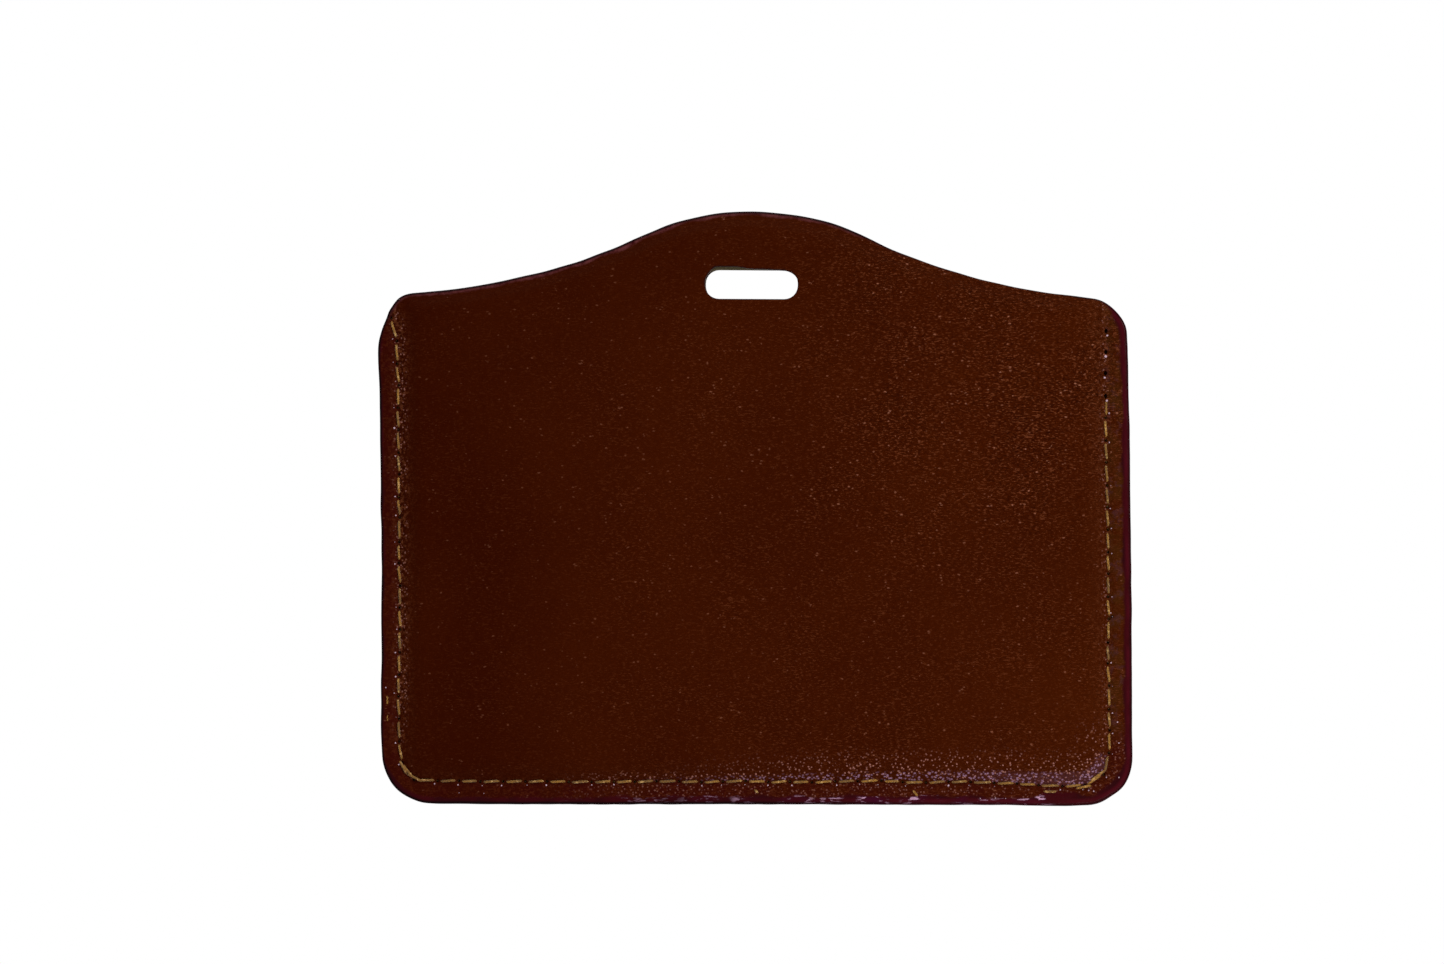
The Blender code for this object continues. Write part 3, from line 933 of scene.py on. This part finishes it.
def grain_leather(name, dark, light, grain):
    """Pebbled, polished leather with painted cut edges."""
    finish = Finish(name, Specular_IOR_Level=0.03, Specular_Tint=(1.0, 0.4, 0.16, 1.0))
    drawn = moved_place(finish, grain * 2.4, grain * 0.9, (0.62, 1.0, 1.1), radians(14))
    strong = (finish.noise(11.0, 2.0).between(0.3, 0.7) * 0.5 + 0.5) * worked_share(finish)
    sewn, lift, paint_depth = finish.mark("sewn"), finish.mark("lift"), finish.mark("paint")
    dome = finish.cells(grain, drawn).between(0.6, 0.0)
    valley = finish.cells(grain, drawn, "DISTANCE_TO_EDGE").between(0.14, 0.0)
    drawn_out = moved_place(finish, 2.0, 0.5, (0.5, 1.0, 1.4), radians(5))
    streak = finish.noise(0.25, 2.0, 0.65, drawn_out)
    crease = finish.noise(1.3, 3.0, 0.55, twist=1.2).between(0.35, 0.6)
    relief = (dome * 0.7 + streak) * (strong + lift * (1 - lift) * 2) + crease * sewn * 0.8
    ragged = (finish.noise(3.2, 2.0) - 0.5) * 0.5 + (finish.noise(0.7, 3.0, 0.65) - 0.5) * 0.5
    paint = (paint_depth + ragged).between(-0.2, 0.3)
    # Painted shade: the hide darkened between the pebbles and in the hollows of the streaks.
    painted_furrow_shade = (valley + streak.between(0.46, 0.34)) * strong * 0.45
    hide = leather_colour(finish, dark, light, painted_furrow_shade, sewn)
    hide = margin_colour(finish, hide, paint_depth)
    # Painted highlight: the raised streaks of the grain painted paler, most where the grain is
    # coarse.
    hide = finish.mix(streak.between(0.55, 0.65) * strong * 0.72, hide, colour(108, 56, 32))
    shine, hide = painted_shine(finish, hide, sewn)
    # Painted highlights: pale specks painted on the pebble tops, which are also made glossier.
    top = finish.cells(grain, drawn).between(0.28, 0.1)
    painted_glint = top * finish.noise(grain * 1.6, 1.0).between(0.58, 0.66) * (strong * 1.15 + 0.14)
    hide = finish.mix((painted_glint * 0.75).held(), hide, colour(136, 84, 60))
    # Painted shade: the leather darkened close round each needle hole.
    empty = finish.mark("needle").between(0.7, 0.97)
    hide = finish.mix(empty, hide, colour(15, 4, 2))
    body = finish.mix(paint, hide, edge_paint(finish))
    # Painted highlights by the needle holes and on the edge paint: pale in colour, and glossier.
    painted_spot_highlight = finish.mark("painted_glint").between(0.3, 0.6)
    finish.set(Base_Color=finish.mix(painted_spot_highlight * 0.8, body, colour(204, 176, 190)))
    finish.set(Roughness=(0.5 - 0.1 * strong).held())
    finish.set(Normal=finish.bump(relief * (1 - paint) + finish.noise(2.2, 3.0, 0.6) * paint, 0.12))
    flat = finish.mark("rim").between(-0.1, -0.4)
    gloss = (painted_glint * 0.2 + shine * 0.35) * (1 - paint) + paint * flat * 0.06 + painted_spot_highlight * 0.3
    finish.polished(gloss.held(), 0.22, 0.5, (1.0, 0.8, 0.84, 1.0))
    return finish


def painted_shine(finish, hide, sewn):
    """Painted highlights on pebbles where the leather bends over the board, most at the low right.
    """
    across = finish.along("X")
    inset, low = finish.mark("inset"), low_share(finish)
    # Painted highlights: pale beads on the pebbles where the leather bends above the foot and
    # puckers by the seams.
    bead = finish.cells(0.47, moved_place(finish, 1.0, 0.3)).between(0.34, 0.12)
    bead = bead * finish.noise(0.9, 1.0).between(0.24, 0.4)
    bend = inset.between(0.5, 1.0) * (inset - across * 26.0).between(4.6, 1.4) * low
    bend = bend * across.between(-0.016, 0.016)
    outer = inset.between(-0.2, -0.5) * low * across.between(-0.032, -0.014)
    close = inset.between(0.15, 0.4) * inset.between(1.5, 0.8) * low * across.between(-0.03, -0.014)
    puckered = sewn.between(0.3, 0.8) * (1 - low) * 0.7 + outer * 0.4 + close * 0.8
    painted_beads = bead * (bend * 1.1 + puckered).held()
    hide = finish.mix(painted_beads, hide, colour(142, 95, 84))
    # Painted highlight: a pale violet haze above the seam along the foot, most to the right.
    foot = finish.along("Z").between(-0.0652, -0.0677)
    pressed = inset.between(0.0, 0.3) * (inset - across * 24.0).between(1.1, 0.4) * foot
    haze_flecks = finish.cells(0.36, moved_place(finish, 0.8, 0.25, (0.8, 1.0, 1.0)))
    haze_flecks = haze_flecks.between(0.5, 0.18) * finish.noise(1.3, 2.0).between(0.28, 0.5)
    painted_haze = pressed * (haze_flecks + across.between(0.02, 0.05) * 0.06) * across.between(-0.022, 0.012)
    hide = finish.mix((painted_haze * 0.7).held(), hide, colour(150, 114, 140))
    return painted_beads * 0.4 + painted_haze * 0.7, hide


def edge_paint(finish):
    """Paint on the cut edges: painted highlights pink along the top and streaked below,
    and near black at the rim as painted shade.
    """
    rim, low = finish.mark("rim"), low_share(finish)
    across = finish.along("X")
    violet = finish.noise(6.0, 2.0).between(0.4, 0.6) * low * across.between(-0.02, 0.02)
    violet = violet * across.between(0.044, 0.036)
    tone = finish.mix(violet, BURGUNDY, colour(50, 2, 26))
    patch = finish.noise(4.0, 2.0).between(0.35, 0.65)
    tone = finish.mix(patch * 0.7, tone, colour(28, 0, 4))
    # Painted highlight: the paint along the top edge painted pink in patches, less to the right.
    up = finish.along("Z").between(-0.006, -0.001)
    painted_top_highlight = up * finish.noise(1.0, 3.0, 0.6).between(0.25, 0.65) * across.between(0.034, 0.02)
    tone = finish.mix(painted_top_highlight * 0.85, tone, colour(98, 50, 50))
    # Painted highlights: pale pink streaks painted on the edge paint along the foot.
    highlight_streak_noise = finish.noise(0.36, 2.0, 0.5, moved_place(finish, 3.0, 0.3, (0.3, 1.0, 1.3)))
    highlight_patches = finish.noise(6.0, 1.0).between(0.42, 0.56) * low * across.between(-0.03, 0.02)
    painted_streaks = (highlight_streak_noise.between(0.56, 0.64) * highlight_patches * across.between(0.044, 0.04)).held()
    tone = finish.mix(painted_streaks * 0.9, tone, colour(186, 146, 172))
    # Painted highlight: a lighter line along the rounded rim at the right side and along the foot.
    bright = (across.between(0.047, 0.0505) + low * across.between(-0.01, 0.03)).held()
    line = rim.between(-1.1, -0.55) * bright * finish.noise(4.0, 2.0).between(0.3, 0.62)
    tone = finish.mix(line * 0.6, tone, colour(72, 6, 20))
    # Painted shade: the outermost rim darkened to near black, a little less along the lighter line.
    return finish.mix(rim.between(-0.5, -0.2) * (0.92 - bright * 0.35), tone, colour(8, 1, 4))


def worked_share(finish):
    """How coarse the grain is: most at the upper right, least at the left and in the hump."""
    across, up = finish.along("X"), finish.along("Z")
    high = up.between(-0.042, -0.02) * across.between(0.0, 0.03)
    return side_share(finish) * (high * 0.6 + 0.55 - up.between(-0.012, 0.0) * 0.15)


def low_share(finish):
    """0 over most of the holder and 1 along its foot."""
    return finish.along("Z").between(-0.060, -0.066)


def side_share(finish):
    """From a third at the left side to 1 at the right, as the grain was worked."""
    across = finish.along("X")
    return across.between(-0.05, 0.03) * 0.68 + 0.32


def margin_colour(finish, hide, paint_depth):
    """The strip outside the seam: olive where the dye is thin, red where the paint has run."""
    across = finish.along("X")
    inset = finish.mark("inset")
    strip = paint_depth.between(-2.6, -1.6) * inset.between(0.4, -0.2)
    blotch = finish.noise(3.0, 3.0, 0.6).between(0.35, 0.65)
    right = across.between(0.0465, 0.0485) * (1 - low_share(finish))
    hide = finish.mix(strip * blotch * right * 0.4, hide, colour(56, 34, 8))
    grey = finish.noise(1.4, 4.0, 0.7).between(0.52, 0.64)
    hide = finish.mix(strip * grey * right * 0.25, hide, colour(72, 44, 52))
    hide = finish.mix(strip * (1 - blotch * 0.6) * (1 - right) * 0.7, hide, colour(46, 4, 4))
    speck = finish.noise(0.45, 2.0, 0.6).between(0.54, 0.62)
    return finish.mix(strip * speck * (1 - right) * 0.26, hide, colour(76, 30, 12))


def leather_colour(finish, dark, light, painted_furrow_shade, sewn):
    """Dye that varies over the hide, paler where it is worked, lighter to the right as painted
    light, and darker between the pebbles as painted shade.
    """
    across = finish.along("X")
    # Painted light: the hide painted lighter towards the right.
    painted_light_drift = (across * 9.0 + 0.36).held()
    cloud = finish.noise(31.0, 2.0).between(0.3, 0.7)
    grit = finish.noise(0.8, 3.0, 0.7)
    tone = (painted_light_drift * 0.6 + cloud * 0.25 + grit * 0.4 - 0.2).held()
    body = finish.mix(tone, dark, light)
    # Painted shade between the pebbles.
    body = finish.mix(painted_furrow_shade.held(), body, tuple(c * 0.5 for c in dark))
    worked = finish.noise(0.5, 3.0, 0.7).between(0.48, 0.62) * sewn
    return finish.mix((worked * 0.65).held(), body, colour(96, 50, 28))


brown = grain_leather("Brown pebbled leather", colour(43, 7, 0), colour(64, 21, 1), 0.58)
brown.dress(plain, window_frame)
skiver = grain_leather("Thin lining leather", colour(52, 15, 4), colour(68, 27, 10), 0.5)
skiver.dress(lining)


def golden_thread():
    finish = Finish("Golden waxed thread", Specular_IOR_Level=0.25, Sheen_Weight=0.15)
    fibre = finish.noise(0.16, 3.0, 0.65)
    worn = finish.noise(3.4, 2.0).between(0.4, 0.66)
    shade = finish.mix(fibre.between(0.3, 0.7), colour(88, 55, 8), colour(166, 118, 32))
    shade = finish.mix(worn * 0.6, shade, colour(72, 46, 12))
    # Painted highlight: pale patches painted into the thread's colour.
    waxed = finish.noise(0.6, 2.0, 0.6).between(0.56, 0.66)
    finish.set(Base_Color=finish.mix(waxed * 0.55, shade, colour(206, 168, 104)))
    finish.set(Roughness=0.52 + fibre * 0.2)
    finish.set(Normal=finish.bump(fibre, 0.03))
    return finish


golden_thread().dress(first_thread, second_thread)


def fibre_board():
    finish = Finish("Grey fibre board", Specular_IOR_Level=0.1)
    flecks = finish.noise(0.35, 4.0, 0.7)
    shade = finish.mix(flecks, colour(66, 58, 38), colour(104, 94, 68))
    finish.set(Base_Color=shade, Roughness=0.85 + flecks * 0.1)
    finish.set(Normal=finish.bump(flecks, 0.04))
    return finish


def clear_film():
    finish = Finish(
        "Clear film", Transmission_Weight=1.0, IOR=1.45, Base_Color=(0.97, 0.98, 0.98, 1.0)
    )
    wave = finish.noise(24.0, 1.0)
    scuff = finish.noise(3.0, 4.0, 0.7, twist=2.0).between(0.5, 0.75)
    finish.set(Roughness=0.03 + scuff * 0.07)
    finish.set(Normal=finish.bump(wave, 0.25))
    return finish


def card_stock():
    finish = Finish("White card stock", Specular_IOR_Level=0.25)
    fibres = finish.noise(0.5, 5.0, 0.7, twist=0.6)
    cloud = finish.noise(9.0, 2.0)
    shade = finish.mix(fibres * 0.6 + cloud * 0.4, colour(226, 225, 219), colour(240, 239, 234))
    finish.set(Base_Color=shade, Roughness=0.62 + fibres * 0.15)
    finish.set(Normal=finish.bump(fibres, 0.02))
    return finish


nodes = frame["nodes"]
fibre_board().dress(nodes["stiffener_board"])
clear_film().dress(nodes["window_sheet"])
card_stock().dress(nodes["blank_card"])

for piece in (plain, lining, window_frame, first_thread, second_thread):
    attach(piece, "holder")

# The room: a pale floor, soft lamps and the camera


RAYS = ("Is Camera Ray", "Is Glossy Ray", "Is Transmission Ray")
ROOM_LIGHT = 0.31
FLOOR_Z, FLOOR_REACH = -112.0, 1500.0


def pale_world():
    """White where it is seen, mirrored or shone through, and dim where it only lights."""
    world = bpy.data.worlds.new("Pale room")
    world.use_nodes = True
    bpy.context.scene.world = world
    nodes, links = world.node_tree.nodes, world.node_tree.links
    rays = nodes.new("ShaderNodeLightPath").outputs
    seen = rays[RAYS[0]]
    for kind in RAYS[1:]:
        either = nodes.new("ShaderNodeMath")
        either.operation = "MAXIMUM"
        links.new(seen, either.inputs[0])
        links.new(rays[kind], either.inputs[1])
        seen = either.outputs[0]
    level = nodes.new("ShaderNodeMapRange")
    level.inputs["To Min"].default_value = ROOM_LIGHT
    level.inputs["To Max"].default_value = 1.0
    links.new(seen, level.inputs["Value"])
    background = nodes["Background"]
    background.inputs["Color"].default_value = (*PALE, 1.0)
    links.new(level.outputs[0], background.inputs["Strength"])


def floor_finish():
    """Pale, keeps the shadow, and fades to plain white well away from the holder."""
    finish = Finish("Pale floor", Specular_IOR_Level=0.0)
    finish.set(Base_Color=colour(238, 238, 238), Roughness=0.9)
    seen, mirrored, through = (finish.add("LightPath", out=kind) for kind in RAYS)
    away = finish.vector("LENGTH", out="Value", Vector=finish.place)
    white = seen.at_least(mirrored.at_least(through)) * (0.6 + 0.4 * away.between(0.12, 0.5))
    glow = finish.add("Emission", {"Color": PALE, "Strength": 1.0})
    lit = Wire(finish, finish.surface.outputs[0])
    both = finish.add("MixShader", {"Fac": white, "Shader": lit, "Shader_001": glow})
    under = finish.add("NewGeometry", out="Backfacing")
    clear = finish.add("BsdfTransparent")
    shown = finish.add("MixShader", {"Fac": under, "Shader": both, "Shader_001": clear})
    finish.links.new(shown.socket, finish.nodes["Material Output"].inputs["Surface"])
    return finish


def pale_floor(height, reach):
    corners = np.array([(-reach, -reach), (reach, -reach), (reach, reach), (-reach, reach)])
    points = np.column_stack([corners, np.zeros(4)])
    floor = mesh_piece("pale_floor", points, [np.array([[0, 1, 2, 3]])])
    floor.location.z = height * MM
    floor.visible_shadow = False
    floor_finish().dress(floor)


def lamp(name, place, aim, size, power, tint=PALE):
    light = bpy.data.lights.new(name, "AREA")
    light.shape = "RECTANGLE"
    light.size, light.size_y = size[0] * MM, size[1] * MM
    light.energy, light.color = power, tint
    made = placed(name, light)
    made.location = Vector(place) * MM
    made.rotation_mode = "QUATERNION"
    made.rotation_quaternion = (Vector(aim) - Vector(place)).to_track_quat("-Z", "Y")


# The photograph's view, worked out from its width in pixels and the size of one
VIEW_TURN, VIEW_RISE, VIEW_ROLL = radians(3.0), radians(-3.0), radians(0.06)
LENS, SENSOR_WIDTH = 150.0, 36.0
PIXEL_SIZE, PHOTO_WIDTH = 0.14026, 1444
FRAME_WIDTH = PIXEL_SIZE * PHOTO_WIDTH
SLOT_RIGHT_OF_MIDDLE, SLOT_ABOVE_MIDDLE = 4.2, 27.68


def photograph_camera():
    data = bpy.data.cameras.new("photograph_camera")
    data.lens, data.sensor_width = LENS, SENSOR_WIDTH
    data.clip_start, data.clip_end = 0.01, 20.0
    camera = placed("photograph_camera", data)
    back = Vector((sin(VIEW_TURN), -cos(VIEW_TURN), 0)) * cos(VIEW_RISE)
    back.z = sin(VIEW_RISE)
    facing = (-back).to_track_quat("-Z", "Y") @ Quaternion((0, 0, 1), VIEW_ROLL)
    right, up = facing @ Vector((1, 0, 0)), facing @ Vector((0, 1, 0))
    middle = -right * SLOT_RIGHT_OF_MIDDLE - up * SLOT_ABOVE_MIDDLE
    camera.location = (middle + back * FRAME_WIDTH * LENS / SENSOR_WIDTH) * MM
    camera.rotation_mode = "QUATERNION"
    camera.rotation_quaternion = facing
    bpy.context.scene.camera = camera


pale_world()
pale_floor(FLOOR_Z, FLOOR_REACH)
lamp("right_lamp", (420, -520, 160), (0, 0, -35), (120, 120), 1.77)
lamp("low_lamp", (95, -230, -190), (35, 0, -70), (80, 40), 0.25, (1.0, 0.94, 1.0))
lamp("top_lamp", (-30, -170, 330), (0, 0, 0), (200, 50), 0.55, (1.0, 0.95, 1.0))
lamp("far_lamp", (-260, 520, 260), (0, 0, -35), (320, 320), 2.2)
photograph_camera()
bpy.context.scene.view_settings.view_transform = "Standard"
